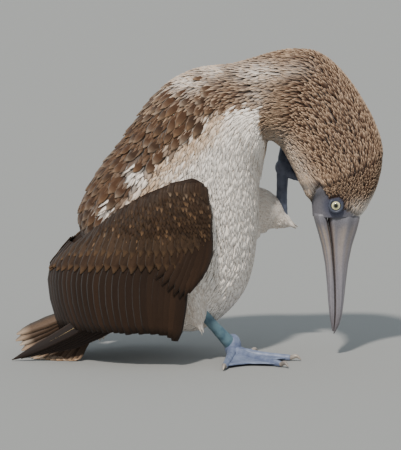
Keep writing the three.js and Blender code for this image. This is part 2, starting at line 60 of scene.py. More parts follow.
def smooth_read(rows, at):
    """A row of values read off a list of rows, smoothly between them, by a Catmull-Rom curve."""
    at = min(max(at, 0), len(rows) - 1 - 1e-6)
    i = int(at)
    t = at - i
    last = len(rows) - 1
    p = [rows[max(0, i - 1)], rows[i], rows[min(last, i + 1)], rows[min(last, i + 2)]]
    return [
        0.5 * (2 * b + (c - a) * t + (2 * a - 5 * b + 4 * c - d) * t * t
               + (3 * b - a - 3 * c + d) * t**3)
        for a, b, c, d in zip(*p)
    ]


def read(pairs, at):
    """A value read off a list of places and values, straight between them."""
    if at <= pairs[0][0]:
        return pairs[0][1]
    for (a, va), (b, vb) in zip(pairs, pairs[1:]):
        if at <= b:
            return va + (vb - va) * (at - a) / (b - a)
    return pairs[-1][1]


def step(low, high, value):
    """A soft step from 0 at low to 1 at high."""
    t = min(max((value - low) / (high - low), 0), 1)
    return t * t * (3 - 2 * t)


def on_body(along, angle, out=0.0):
    """A point on the plumage: along 0 at the tail to 14 at the bill, angle 0 on the back,
    a quarter turn on the left and half a turn on the breast."""
    x, z, tilt, deep, wide = smooth_read(BODY, along)
    tilt = math.radians(tilt)
    deep = (deep + out) * math.cos(angle)
    return Vector((x - math.sin(tilt) * deep, (wide + out) * math.sin(angle), z + math.cos(tilt) * deep))


def body_normal(along, angle):
    """The way out of the plumage at a place on it."""
    e = 0.02
    run = on_body(min(along + e, LAST), angle) - on_body(max(along - e, 0), angle)
    side = on_body(along, angle + e) - on_body(along, angle - e)
    return side.cross(run).normalized() * -1


def girth(along):
    """About how far it is round the body."""
    _, _, _, deep, wide = smooth_read(BODY, along)
    return 2 * math.pi * math.sqrt((deep * deep + wide * wide) / 2)


def tenth_on(along):
    """How far a tenth of a row of BODY reaches, on the back or the breast, at least 1."""
    lengths = [(on_body(along + 0.05, a) - on_body(along - 0.05, a)).length for a in (0, math.pi)]
    return max(*lengths, 1)


def mesh_piece(name, verts, faces, material, uvs=None, tints=None):
    """A mesh object of the model from points in millimetres of the body's own frame."""
    mesh = bpy.data.meshes.new(name)
    above = [Vector((v.x, v.y, max(v.z, 0))) for v in verts]  # nothing sinks into the floor
    mesh.from_pydata([(v - ORIGIN) * MM for v in above], [], faces)
    if uvs:
        layer = mesh.uv_layers.new(name="OFBake")
        flat = [0.0] * (2 * len(mesh.loops))
        for i, loop in enumerate(mesh.loops):
            flat[2 * i : 2 * i + 2] = uvs[loop.vertex_index]
        layer.data.foreach_set("uv", flat)
    if tints:
        layer = mesh.attributes.new("tint", "FLOAT_COLOR", "POINT")
        layer.data.foreach_set("color", [c for t in tints for c in (*t, 1.0)])
    mesh.polygons.foreach_set("use_smooth", [True] * len(mesh.polygons))
    mesh.materials.append(material)
    piece = bpy.data.objects.new(name, mesh)
    bpy.context.scene.collection.objects.link(piece)
    mesh.update()
    return piece


def finish_piece(piece, slot, *nodes):
    """Says where a piece rides and which nodes it stands for; slot, what it is made of, is not used."""
    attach(piece, "root")
    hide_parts(*nodes)


def loft(place, rows, around):
    """A closed tube: place(u, angle) on the wall, both ends drawn to a point."""
    verts, faces = [], []
    for j in range(rows + 1):
        for i in range(around):
            verts.append(place(j / rows, 2 * math.pi * i / around))
    for j in range(rows):
        for i in range(around):
            k = (i + 1) % around
            faces.append((j * around + i, j * around + k, (j + 1) * around + k, (j + 1) * around + i))
    for row, turn in ((0, False), (rows, True)):
        ring = [row * around + i for i in range(around)]
        centre = len(verts)
        verts.append(sum((verts[i] for i in ring), Vector()) / around)
        for i in range(around):
            a, b = ring[i], ring[(i + 1) % around]
            faces.append((a, b, centre) if turn else (b, a, centre))
    return verts, faces


def turned_out(verts, faces):
    """The faces, turned over if they face in."""
    volume = 0.0
    for face in faces:
        a = verts[face[0]]
        for b, c in zip(face[1:], face[2:]):
            volume += a.dot(verts[b].cross(verts[c]))
    return faces if volume > 0 else [tuple(reversed(face)) for face in faces]


def curve(points, u):
    """A point on a smooth line through points, u from 0 to 1."""
    return Vector(smooth_read([list(p) for p in points], u * (len(points) - 1)))


def run_along(path, v, reach):
    """The way a path runs at v, read over reach to each side."""
    return (path(min(1, v + reach)) - path(max(0, v - reach))).normalized()


def limb_axes(points, u):
    """The way a limb runs at u, and the two ways across it."""
    run = run_along(lambda w: curve(points, w), u, 0.02)
    side = Vector((0, 1, 0.02)).cross(run).normalized()
    return run, side, run.cross(side)


def limb(points, sizes, rows=14, around=14, flat=1.0, knuckles=0.0):
    """A closed limb along points, with its radii in sizes and low rings for knuckles."""

    def place(u, angle):
        _, side, other = limb_axes(points, u)
        end = math.sin(math.pi * min(0.5, 0.12 + 6 * min(u, 1 - u))) if u in (0, 1) else 1
        size = smooth_read([[s] for s in sizes], u * (len(sizes) - 1))[0] * end
        size *= 1 + knuckles * math.sin(u * 7 * math.pi) ** 2
        across = side * math.cos(angle) + other * flat * math.sin(angle)
        return curve(points, u) + across * size

    verts, faces = loft(place, rows, around)
    return verts, turned_out(verts, faces)


NO_PLACE = (0.5, 0.5)  # in the bake's layout, for what has no place of its own there


class Heap:
    """Many small closed shapes gathered into one mesh."""

    def __init__(self):
        self.verts, self.faces, self.uvs, self.tints = [], [], [], []

    def add(self, verts, faces, uv=NO_PLACE, tints=None):
        base = len(self.verts)
        self.verts += verts
        self.faces += [tuple(base + i for i in face) for face in faces]
        self.uvs += uv if isinstance(uv, list) else [uv] * len(verts)
        self.tints += tints or [(0.5, 0.5, 0.5)] * len(verts)

    def piece(self, name, material):
        laid_out = any(uv != NO_PLACE for uv in self.uvs)
        return mesh_piece(name, self.verts, self.faces, material, self.uvs if laid_out else None, self.tints)


# Outlines of feathers: how far along, and how wide there.
BLUNT = [(0, 0.5), (0.25, 0.85), (0.6, 1), (0.85, 0.82), (0.96, 0.45), (1, 0.12)]
POINTED = [(0, 0.6), (0.3, 0.95), (0.55, 1), (0.8, 0.68), (1, 0.05)]
LANCE = [(0, 0.5), (0.3, 1), (0.6, 0.8), (0.85, 0.4), (1, 0.05)]
SPEAR = [(0, 0.5), (0.4, 1), (0.7, 0.95), (0.9, 0.6), (1, 0.1)]
ROUND = [(0, 0.5), (0.25, 0.85), (0.6, 1), (0.93, 0.92), (0.98, 0.74), (1, 0.5)]

VANE = {"thick": 0.4, "crown": 0.05, "across": 6}  # how a long feather is made
QUILL_UP = 0.6

# A feather's patch in the bake's layout: half its width, its length, and its quill's beside it.
PATCH_HALF, PATCH_LONG = 0.0012, 0.0028
QUILL_HALF, QUILL_FROM, QUILL_LONG = 0.0008, 0.0018, 0.0016


def feather_axes(path, lie, v):
    """The ways across a feather and up from it, at v along it."""
    run = run_along(path, v, 0.03)
    side = lie(v).cross(run).normalized()
    return side, run.cross(side)


def feather(heap, path, lie, width, color, shape=BLUNT, rows=5, roll=0.0, thick=0.35,
            crown=0.08, uv=(0.5, 0.5), split=0.0, across=4):
    """One closed feather: path(v) is its shaft, lie(v) the way up, color(u, v) its colour
    with u from -1 to 1 across. across counts the strips of its upper face."""
    verts, tints, uvs = [], [], []
    for j in range(rows + 1):
        v = j / rows
        side, up = feather_axes(path, lie, v)
        side = side * math.cos(roll) + up * math.sin(roll)
        half = width * read(shape, v) / 2
        centre = path(v)
        for i in range(across + 1):
            u = 2 * i / across - 1
            jag = split * random.uniform(-1, 1) if 0 < j and abs(u) == 1 else 0
            lift = crown * width * (1 - u * u)
            rise = lift + (thick if abs(u) < 0.6 else 0.05)
            verts.append(centre + side * half * u * (1 + jag) + up * rise)
            tints.append(color(u, v))
            uvs.append((uv[0] + u * PATCH_HALF, uv[1] + (v - 0.5) * PATCH_LONG))
        verts.append(centre - up * thick * 0.4)
        tints.append(color(0, v))
        uvs.append(uv)
    n = across + 2
    faces = []
    for j in range(rows):
        a, b = j * n, (j + 1) * n
        for i in range(n):
            k = (i + 1) % n
            faces.append((a + i, a + k, b + k, b + i))
    faces.append(tuple(reversed(range(n))))
    faces.append(tuple(rows * n + i for i in range(n)))
    heap.add(verts, turned_out(verts, faces), uvs, tints)


def linear(*rgb):
    """A screen colour, 0 to 255, as the linear one that a shader takes."""
    return tuple((c / 255 / 12.92) if c < 10 else ((c / 255 + 0.055) / 1.055) ** 2.4 for c in rgb)


def mix(a, b, t):
    t = min(max(t, 0), 1)
    return tuple(x + (y - x) * t for x, y in zip(a, b))


def shade(c, k):
    return tuple(x * k for x in c)


CREAM = linear(250, 240, 229)
BEIGE = linear(206, 176, 146)
TAN = linear(176, 136, 98)
BROWN = linear(76, 50, 31)
DARK = linear(50, 34, 23)
BLACKISH = linear(34, 27, 24)
PALE_TIP = linear(228, 208, 186)
WHITE = linear(240, 234, 226)
STRAW = linear(190, 165, 120)
WING_DARK = linear(44, 28, 16)
WING_BROWN = linear(52, 37, 25)
NECK_BROWN = linear(70, 42, 25)
NECK_TIP = linear(230, 198, 166)
FACE_BROWN = linear(74, 52, 38)
FACE_SKIN = linear(92, 94, 112)
EYE_RING = linear(60, 64, 78)
BILL_BASE, BILL_GREY, BILL_END = linear(112, 110, 116), linear(126, 122, 128), linear(98, 92, 96)
# The ridge's lighter colour is a painted highlight along the top of the bill.
BILL_RIDGE_HIGHLIGHT, BILL_STREAK, MOUTH_LINE = linear(146, 132, 130), linear(150, 134, 116), linear(84, 66, 56)
TAIL_GREY = linear(120, 98, 80)
# Where the brown of the back ends and the white of the side starts: z, x.
WHITE_FROM = [(60, -90), (120, -85), (165, -72), (194, -55), (215, -34), (238, -6), (256, 14), (264, 70)]
# Pale patches in the side view: x, z, how long, how high, how strong.
PALE_PATCHES = [(-6, 282, 24, 9, 0.95), (22, 290, 16, 6, 0.9), (-57, 197, 8, 9, 0.9), (-84, 163, 12, 6, 0.85),
                (68, 290, 26, 10, 0.85), (66, 268, 14, 14, 0.4), (100, 290, 16, 8, 0.4),
                (158, 149, 10, 9, 0.95)]


def paleness(point):
    """How pale the plumage is at a place by its pale patches, from 0 to 1."""
    return max(
        k * math.exp(-(((point.x - x) / a) ** 2) - ((point.z - z) / b) ** 2)
        for x, z, a, b, k in PALE_PATCHES
    )


def plumage(along, angle):
    """The ground colour, the tip colour and how streaked a place on the body is."""
    side = abs(angle)
    noise = random.uniform(-1, 1)
    here = on_body(along, angle)
    pale = paleness(here) * (0.75 + 0.25 * noise)
    neck = step(252, 262, here.z + 5 * noise) if here.x < 70 else 1.0
    if here.x > 70 or neck > 0.5:
        throat = step(2.0, 2.8, side) * 0.4
        base = mix(NECK_BROWN, CREAM, pale + throat * (1 + 0.4 * noise))
        forehead = step(13.1, 13.7, along) * step(0.8, 0.3, side)
        base = mix(base, WHITE, 0.8 * forehead)
        dark_face = step(12.2, 13.2, along) * step(0.7, 1.2, side)
        return mix(base, FACE_BROWN, 0.5 * dark_face), NECK_TIP, 0.9
    past = here.x - read(WHITE_FROM, here.z)
    white = max(step(-6, 14, past + 13 * noise), step(1.9, 2.3, side))
    half = step(0, 30, past + 9 * noise)
    ground = mix(BROWN, mix(TAN, CREAM, 0.35 + 0.65 * half), white)
    ground = mix(ground, WHITE, pale)
    streak = (1 - white) * (1 - pale) + 0.5 * white * (1 - half)
    return ground, mix(TAN, PALE_TIP, 0.4 + 0.6 * white), 0.75 * streak


def node_group_speckle():
    """A reusable group: an even small scale unevenness from 0 to 1."""
    group = bpy.data.node_groups.new("Speckle", "ShaderNodeTree")
    group.interface.new_socket("Scale", in_out="INPUT", socket_type="NodeSocketFloat")
    group.interface.new_socket("Value", in_out="OUTPUT", socket_type="NodeSocketFloat")
    nodes, links = group.nodes, group.links
    into, out = nodes.new("NodeGroupInput"), nodes.new("NodeGroupOutput")
    place = nodes.new("ShaderNodeTexCoord")
    noise = nodes.new("ShaderNodeTexNoise")
    noise.inputs["Detail"].default_value = 4
    links.new(place.outputs["Object"], noise.inputs["Vector"])
    links.new(into.outputs["Scale"], noise.inputs["Scale"])
    links.new(noise.outputs["Fac"], out.inputs["Value"])
    return group


SPECKLE = node_group_speckle()


def new_material(name, rough, bump_scale, bump_height):
    """A material with small bumps; returns it with its shader, its speckle and links."""
    material = bpy.data.materials.new(name)
    material.use_nodes = True
    nodes, links = material.node_tree.nodes, material.node_tree.links
    shader = nodes["Principled BSDF"]
    shader.inputs["Roughness"].default_value = rough
    speckle = nodes.new("ShaderNodeGroup")
    speckle.node_tree = SPECKLE
    speckle.inputs["Scale"].default_value = bump_scale
    bump = nodes.new("ShaderNodeBump")
    bump.inputs["Strength"].default_value = 0.5
    bump.inputs["Distance"].default_value = bump_height
    links.new(speckle.outputs["Value"], bump.inputs["Height"])
    links.new(bump.outputs["Normal"], shader.inputs["Normal"])
    return material, shader, speckle, nodes, links


def feather_material(name, rough, sheen, shine=0.2):
    """The colour comes from each point's tint, a little uneven."""
    material, shader, speckle, nodes, links = new_material(name, rough, 900, 0.0004)
    tint = nodes.new("ShaderNodeAttribute")
    tint.attribute_name = "tint"
    ramp = nodes.new("ShaderNodeMapRange")
    ramp.inputs["To Min"].default_value = 0.6
    ramp.inputs["To Max"].default_value = 1.4
    links.new(speckle.outputs["Value"], ramp.inputs["Value"])
    scale = nodes.new("ShaderNodeVectorMath")
    scale.operation = "SCALE"
    links.new(tint.outputs["Color"], scale.inputs[0])
    links.new(ramp.outputs["Result"], scale.inputs["Scale"])
    links.new(scale.outputs["Vector"], shader.inputs["Base Color"])
    shader.inputs["Sheen Weight"].default_value = sheen
    shader.inputs["Specular IOR Level"].default_value = shine
    return material


def toned_material(name, dark, light, rough, bump_scale, bump_height):
    """Two tones of one colour, blotched over the piece."""
    material, shader, _, nodes, links = new_material(name, rough, bump_scale, bump_height)
    blotch = nodes.new("ShaderNodeGroup")
    blotch.node_tree = SPECKLE
    blotch.inputs["Scale"].default_value = bump_scale / 6
    ramp = nodes.new("ShaderNodeValToRGB")
    ramp.color_ramp.elements[0].position = 0.35
    ramp.color_ramp.elements[0].color = (*dark, 1)
    ramp.color_ramp.elements[1].position = 0.65
    ramp.color_ramp.elements[1].color = (*light, 1)
    links.new(blotch.outputs["Value"], ramp.inputs["Fac"])
    links.new(ramp.outputs["Color"], shader.inputs["Base Color"])
    return material


DOWN = feather_material("small feathers", 0.85, 0.1)
VANES = feather_material("long feathers", 0.6, 0.05)
FLESH = feather_material("skin under the plumage", 0.9, 0.0)
TINTED = feather_material("bill and bare face", 0.42, 0.0, 0.5)
FOOT = toned_material("webbed foot", linear(88, 98, 126), linear(126, 136, 160), 0.45, 700, 0.0006)
# The raised foot and its shank wear the foot's blue darkened as painted shade.
SHADED_RAISED_LEG = toned_material("raised foot", linear(62, 68, 84), linear(92, 98, 116), 0.5, 700, 0.0006)
SHANK = toned_material("shank", linear(70, 98, 112), linear(106, 134, 142), 0.45, 600, 0.0006)
CLAW = toned_material("claw", linear(120, 112, 108), linear(176, 164, 150), 0.35, 400, 0.0002)
EYE = feather_material("eye", 0.06, 0.0, 0.5)


def skin_depth(along, angle):
    depth = SKIN_DEPTH + (HEAD_DEPTH - SKIN_DEPTH) * step(9, 12.5, along)
    here = on_body(along, angle)
    white = step(4, 20, here.x - read(WHITE_FROM, here.z)) if along < 8 else 0
    return depth + (DOWN_DEPTH - depth) * white * step(268, 258, here.z)


def uv_on(along, angle):
    """A place on the unwrap of the skin: along it and round it."""
    return (0.03 + 0.94 * along / LAST, 0.03 + 0.9 * ((angle / (2 * math.pi)) % 1.0))


def skin_tone_and_shade(along, angle):
    turn = (angle + math.pi) % (2 * math.pi) - math.pi
    ground, _, _ = plumage(along, turn)
    here = on_body(along, angle)
    if along > 12 and bare_face(here):
        return mix(shade(FACE_SKIN, 0.75), BILL_BASE, step(8, 18, from_eye(here)))
    # Under the plumage the skin takes its place's ground colour, darker under darker feathers as painted
    # shade between the feathers.
    return shade(ground, 0.7 + 0.3 * min(1, ground[0]))


def build_skin():
    rows, around = 160, 80
    place = lambda u, angle: on_body(u * LAST, angle, -skin_depth(u * LAST, angle))
    verts, faces = loft(place, rows, around)
    faces = turned_out(verts, faces)
    spots = [(j * LAST / rows, 2 * math.pi * i / around) for j in range(rows + 1) for i in range(around)]
    spots += [(0, 0), (LAST, 0)]
    tints = [skin_tone_and_shade(*spot) for spot in spots]
    skin = mesh_piece("skin", verts, faces, FLESH, [uv_on(*spot) for spot in spots], tints)
    finish_piece(skin, "pale_plumage", "torso", "neck", "head")


def body_tuft(heap, along, angle, long, width, lift, look, shape, rows=3, across=2, soft=0.0):
    """A small feather on the body, lying back towards the tail."""
    per = on_body(min(LAST, along + 0.1), angle) - on_body(along - 0.1, angle)
    reach = long / max(per.length / 0.2, 4)
    drift = random.uniform(-0.06, 0.06)
    root = -0.9 * skin_depth(along, angle)

    def path(v):
        here = max(0.0, along - reach * v)
        return on_body(here, angle + drift * v, root + (lift - root) * v)

    normal = body_normal(along, angle)
    feather(heap, path, lambda v: normal, width, look, shape, rows, random.uniform(-0.12, 0.12) * (1 - soft),
            thick=0.25 - 0.15 * soft, crown=0.1 - 0.07 * soft, uv=uv_on(along, angle), across=across)


def tuft_look(along, angle):
    """The colours of a small feather: its place's ground, darker towards the root as painted shade, streaked
    to a pale tip.
    """
    turn = (angle + math.pi) % (2 * math.pi) - math.pi
    ground, tip, streak = plumage(along, turn)
    soft = step(0.6, 0.1, streak)
    ground = shade(ground, 1 + (1 - 0.85 * soft) * random.uniform(-0.22, 0.18))
    tipped = streak * random.uniform(0.3, 1.0)
    edge = 0.85 if streak > 0.8 else 0.3
    start = 0.56 if streak > 0.8 else 0.45

    def look(u, v):
        t = tipped * step(start, 1.0, v) * (edge + (1 - edge) * abs(u))
        # Painted shade darkens the feather towards its root, less on soft feathers.
        return mix(shade(ground, 0.75 + 0.2 * soft + (0.3 - 0.22 * soft) * v), tip, t)

    return look


# Bands of the coat: from, to, length, width, spacing, lift at the tip, outline.
COAT = [
    ("tail_base", 0.3, 3.0, 24, 10, 7.5, 0.4, BLUNT),
    ("back", 3.0, 5.2, 22, 9, 6.6, 0.4, BLUNT),
    ("shoulder", 5.2, 6.6, 16, 6.5, 5.0, 0.4, BLUNT),
    ("nape", 6.6, 8.6, 13, 3.6, 3.5, 1.2, SPEAR),
    ("neck_low", 8.6, 9.9, 12, 2.9, 3.0, 1.3, SPEAR),
    ("neck_high", 9.9, 11.2, 11, 2.7, 2.8, 1.3, SPEAR),
    ("crown", 11.2, 12.5, 8.5, 2.2, 2.4, 1.0, SPEAR),
    ("face", 12.5, 13.95, 5, 1.6, 1.9, 0.3, SPEAR),
]

# Below this line, in the side view, the face is bare skin up to the bill.
FACE_LINE = [(111, 150), (115, 163), (119, 176), (123, 174), (131, 161), (146, 151), (156, 146), (166, 138)]


def from_eye(point):
    """How far a place is from the eye in the side view."""
    return math.hypot(point.x - EYE_AT[0], point.z - EYE_AT[2])


def bare_face(point):
    """Whether a place on the head is bare skin round the eye or by the bill's base."""
    return from_eye(point) < 8.2 or point.z < read(FACE_LINE, point.x)


# How much down a place has, and how far each kind stands out at its tip.
NO_DOWN, SOME_DOWN, ALL_DOWN = 0, 1, 2
LOOSE_DOWN, CLOSE_DOWN = 3.0, 0.2


def downy(along, angle):
    """Whether the plumage is white down all over, has some loose down in it, or none."""
    here = on_body(along, angle)
    if along < 0.6 or along > 7.2 or here.z > 266:
        return NO_DOWN
    if here.x > read(WHITE_FROM, here.z) + 10 or math.cos(angle) < -0.35:
        return ALL_DOWN
    return SOME_DOWN if paleness(here) > 0.45 and random.random() < 0.35 else NO_DOWN


def down_tone(here, kind):
    """Cream, turning beige towards the brown of the back."""
    past = here.x - read(WHITE_FROM, here.z) + random.uniform(-9, 9)
    edge = step(12, 48, past) if kind == ALL_DOWN and here.z > 120 else 1
    tan_share = 0.1 * random.random() ** 3 if kind == ALL_DOWN else 0.3 * random.random()
    return mix(BEIGE, mix(CREAM, TAN, tan_share), edge)


def ring_places(start, end, gap, stride, stray, slide):
    """Staggered places all round the body, ring by ring from start to end."""
    along, odd = start, 0
    while along < end:
        count = max(8, int(girth(along) / gap))
        for i in range(count):
            angle = 2 * math.pi * (i + 0.5 * odd + random.uniform(-stray, stray)) / count
            yield min(LAST - 0.02, along + random.uniform(-slide, slide)), angle
        along += stride / tenth_on(along)
        odd = 1 - odd


def build_down():
    """Fine white down on the breast, the belly and the flanks."""
    gap, long, width = 2.5, 15.0, 5.2
    for name, start, end in (("low", 0.4, 3.9), ("middle", 3.9, 5.5), ("high", 5.5, 7.2)):
        heap = Heap()
        for spot, angle in ring_places(start, end, gap, 0.1 * 1.6 * gap, 0.45, 0.04):
            kind = downy(spot, angle)
            if kind == NO_DOWN:
                continue
            tone = down_tone(on_body(spot, angle), kind)
            # Each strand is a little darker towards its root as painted shade.
            look = lambda u, v: shade(tone, 0.95 + 0.08 * v)
            lift = CLOSE_DOWN if kind == ALL_DOWN else LOOSE_DOWN
            body_tuft(heap, spot, angle, long * random.uniform(0.8, 1.2), width * random.uniform(0.8, 1.2),
                      lift * random.uniform(0.4, 1.6), look, LANCE, soft=1.0)
        finish_piece(heap.piece("down_" + name, DOWN), "pale_plumage", "torso")


def build_coat():
    """Small feathers in rings, band by band, over all that isn't down or bare."""
    for name, start, end, long, width, gap, lift, shape in COAT:
        heap = Heap()
        for spot, angle in ring_places(start, end, gap, 0.1 * gap * 0.95, 0.3, 0.03):
            if spot > 12 and bare_face(on_body(spot, angle)):
                continue
            size = random.uniform(0.85, 1.15)
            if downy(spot, angle) != ALL_DOWN:
                body_tuft(heap, spot, angle, long * size, width * size, lift * size,
                          tuft_look(spot, angle), shape)
        finish_piece(heap.piece("coat_" + name, DOWN), "pale_plumage", "torso")


def build_shoulders():
    """Broad, pale edged feathers lie like scales over each shoulder."""
    heap = Heap()
    for row in range(17):
        along = 2.5 + 0.3 * row
        scale = 1.08 - 0.085 * (along - 2.5)
        for side in (-1, 1):
            for i in range(10):
                angle = side * (0.06 + 0.165 * (i + 0.5 * (row % 2)) + random.uniform(-0.03, 0.03))
                spot = along + random.uniform(-0.08, 0.08)
                base = mix(BROWN, DARK, random.uniform(0.2, 1))
                fringe = mix(TAN, PALE_TIP, random.uniform(0, 0.8))
                here = on_body(spot, angle)
                white = here.x - read(WHITE_FROM, here.z) > 4
                if white or here.z > 286 or random.random() < paleness(here):
                    continue

                def look(u, v, base=base, fringe=fringe):
                    t = max(step(0.72, 1, v), step(0.75, 1, abs(u)) * step(0.3, 0.8, v))
                    return mix(base, fringe, 0.5 * t)

                body_tuft(heap, spot, angle, scale * random.uniform(24, 29),
                          scale * random.uniform(11.5, 14.5), 1.6, look, BLUNT, rows=5, across=6)
    finish_piece(heap.piece("shoulder_feathers", DOWN), "brown_plumage", "torso")


WING_FRONT = 9  # the wrist's x
# The outer face seen from above: its share of the wing's length and width, from wrist to rump.
CLOAK = [(0, 0.86), (0.14, 0.96), (0.34, 1), (0.56, 0.96), (0.76, 0.78), (0.92, 0.46), (1, 0.14)]
# By height: the rear edge's x and the half width. Along the wing: its upper and lower edge.
WING_BACK = [(10, -132), (30, -139), (60, -147), (80, -149), (92, -147), (105, -139), (128, -120),
             (165, -99), (200, -79)]
WING_HALF_WIDTH = [(10, 78), (60, 86), (100, 89), (140, 89), (180, 85), (205, 79)]
WING_TOP = [(0, 156), (0.03, 174), (0.08, 184), (0.18, 190), (0.34, 186), (0.5, 175), (0.62, 162),
            (0.74, 144), (0.86, 124), (1, 104)]
WING_FOOT = [(0, 116), (0.12, 104), (0.5, 98), (1, 86)]


def cloak(s, z, out=0.0):
    """The folded wing's outer face: s from 0 at the wrist to 1 on the rump."""
    share, bulge = smooth_read(CLOAK, s * (len(CLOAK) - 1))
    x = WING_FRONT + (read(WING_BACK, z) - WING_FRONT) * share
    point = Vector((x, read(WING_HALF_WIDTH, z) * bulge, z))
    return point + cloak_normal(s, z) * out if out else point


def cloak_normal(s, z):
    """The level way out of the wing's outer face."""
    level = cloak(min(1, s + 0.01), z) - cloak(max(0, s - 0.01), z)
    level.z = 0
    level.normalize()
    return Vector((level.y, -level.x, 0))


def wing_uv(s, z):
    """A place on the unwrap of the wing: along it and up it."""
    return (0.05 + 0.9 * s, 0.08 + 0.85 * z / 200)


def core_rise(z):
    """How far the wing's solid part swells towards its upper edge."""
    return 6 * step(96, 165, z)


def sided(side, point):
    """A point of the left side, on the side asked for: 1 left, -1 right."""
    return Vector((point.x, side * point.y, point.z))


def sheet(heap, at, thick, across, along, tint):
    """A thin closed sheet round the middle face at(u, v)."""
    top, under, tints, uvs = [], [], [], []
    e = 1e-3
    for j in range(along + 1):
        for i in range(across + 1):
            u, v = i / across, j / along
            du = at(min(1, u + e), v) - at(max(0, u - e), v)
            dv = at(u, min(1, v + e)) - at(u, max(0, v - e))
            half = du.cross(dv).normalized() * thick(u, v) / 2
            top.append(at(u, v) + half)
            under.append(at(u, v) - half)
            tints.append(tint(u, v))
            uvs.append((0.05 + 0.9 * u, 0.01 + 0.03 * v))
    n, w = len(top), across + 1
    faces = []
    for j in range(along):
        for i in range(across):
            a = j * w + i
            faces.append((a, a + 1, a + w + 1, a + w))
            faces.append((n + a, n + a + w, n + a + w + 1, n + a + 1))
    rim = [i for i in range(w)] + [j * w + across for j in range(1, along + 1)]
    rim += [along * w + i for i in range(across - 1, -1, -1)] + [j * w for j in range(along - 1, 0, -1)]
    for a, b in zip(rim, rim[1:] + rim[:1]):
        faces.append((a, n + a, n + b, b))
    heap.add(top + under, turned_out(top + under, faces), uvs * 2, tints * 2)


def shaft(heap, path, lie, size, color, start, end=0.97, uv=NO_PLACE):
    """The quill along a feather, three sided."""
    verts, uvs, rows = [], [], 6
    for j in range(rows + 1):
        v = start + (end - start) * j / rows
        side, up = feather_axes(path, lie, v)
        r = size * (1.1 - 0.8 * j / rows)
        centre = path(v) + up * QUILL_UP
        verts += [centre - side * r, centre + side * r, centre + up * r]
        uvs += [(uv[0] + QUILL_HALF * (i - 1), uv[1] + QUILL_FROM + QUILL_LONG * j / rows) for i in range(3)]
    faces = [
        (a + i, a + (i + 1) % 3, a + 3 + (i + 1) % 3, a + 3 + i)
        for a in range(0, 3 * rows, 3) for i in range(3)
    ]
    faces += [(2, 1, 0), (3 * rows, 3 * rows + 1, 3 * rows + 2)]
    heap.add(verts, turned_out(verts, faces), uvs, [color] * len(verts))


def wing_core(heap, side):
    """The wing's solid part under its feathers, its dark brown darkened further as painted shade."""

    def thick(u, v):
        rim = math.sin(math.pi * min(1, 0.06 + 0.94 * v)) ** 0.5
        inward = 1 - (u - 0.8) * 3 if u > 0.8 else 1
        return 3 + 20 * rim * inward * min(1, 0.35 + 3 * u)

    def at(u, v):
        s = 0.97 * u
        low, high = read(WING_FOOT, s), read(WING_TOP, s) - 2
        z = low + (high - low) * v
        return sided(side, cloak(s, z, core_rise(z) - 1.5 - thick(u, v) / 2))

    sheet(heap, at, thick, 36, 14, lambda u, v: shade(WING_DARK, 0.8))


def wing_look(base, fringe, tip_share=0.8, fleck=0.0, bright=0.28):
    """The colours of a wing feather: dark, flecked, darker towards its root as painted shade, with a thin
    pale fringe at its tip.
    """
    base = shade(base, random.uniform(0.75, 1.25))

    def look(u, v):
        t = max(step(tip_share, 1, v), 0.3 * step(0.7, 1, abs(u)))
        ground = mix(base, fringe, fleck * random.random())
        # Painted shade darkens the feather towards its root; the pale fringe is its own colour.
        return mix(shade(ground, 0.8 + 0.25 * v), fringe, bright * t)

    return look


def wing_feather(heap, side, s, z0, z1, sweep, out, width, look, rows, quill):
    """A feather hung on the wing at s, from height z0 to z1, its tip swept back and out."""
    rise = core_rise(z0) - 0.6
    place = lambda v: (s - sweep * v * v, z0 + (z1 - z0) * v)
    path = lambda v: sided(side, cloak(*place(v), rise + (out - rise) * v))
    lie = lambda v: sided(side, cloak_normal(*place(v)))
    uv = wing_uv(s, z0)
    shape = ROUND if rows > 8 else BLUNT
    feather(heap, path, lie, width, look, shape, rows, side * 0.14, uv=uv, split=0.03, **VANE)
    if quill:
        shaft(heap, path, lie, 0.45, shade(DARK, 0.55), 0.2, uv=uv)


SECONDARIES, SECONDARY_ROOT, SECONDARY_WIDE = 25, 118, 13.5
SECONDARY_TIPS = [(0.17, 28), (0.26, 34), (0.6, 35), (1, 33)]
# Rows of long coverts: how many, root height, tip height and its fall to the rump, how far
# out, width, colour.
COVERT_ROWS = [(21, 140, 102, 11, 3.2, 13, WING_DARK), (22, 154, 118, 12, 4.4, 11.5, WING_BROWN)]
# Small coverts: heights of the first row and the end, row spacing, how many in a row.
SMALL_FROM, SMALL_TO, SMALL_ROW, SMALL_ACROSS = 116.0, 192, 4.6, 44
FLECKS = (0.05, 0.05, 0.1, 0.1, 0.2, 0.6)  # how bright a small covert's tip may be
FRONT_FEATHERS, FRONT_HIGH = 9, 150


def build_secondaries(name, side):
    heap = Heap()
    for i in range(SECONDARIES):
        s = 0.17 + 0.79 * i / (SECONDARIES - 1)
        tip = read(SECONDARY_TIPS, s) + random.uniform(-1, 1)
        sweep = 0.09 * max(0, s - 0.45) - 0.35 * max(0, 0.36 - s)
        wing_feather(heap, side, s, SECONDARY_ROOT, tip, sweep, 1.6, SECONDARY_WIDE,
                     wing_look(WING_DARK, WING_BROWN, 0.93, 0.1), 9, True)
    finish_piece(heap.piece("secondaries_" + name, VANES), "brown_plumage", "wing_" + name)


def add_long_coverts(heap, side):
    for count, root, tip, fall, out, width, base in COVERT_ROWS:
        for i in range(count):
            s = 0.12 + 0.84 * i / (count - 1)
            z0 = min(root, read(WING_TOP, s) - 4)
            z1 = min(tip - fall * s, z0 - 16) + random.uniform(-2, 2)
            wing_feather(heap, side, s, z0, z1, 0.015, out, width,
                         wing_look(base, TAN, 0.93, 0.05), 6, True)


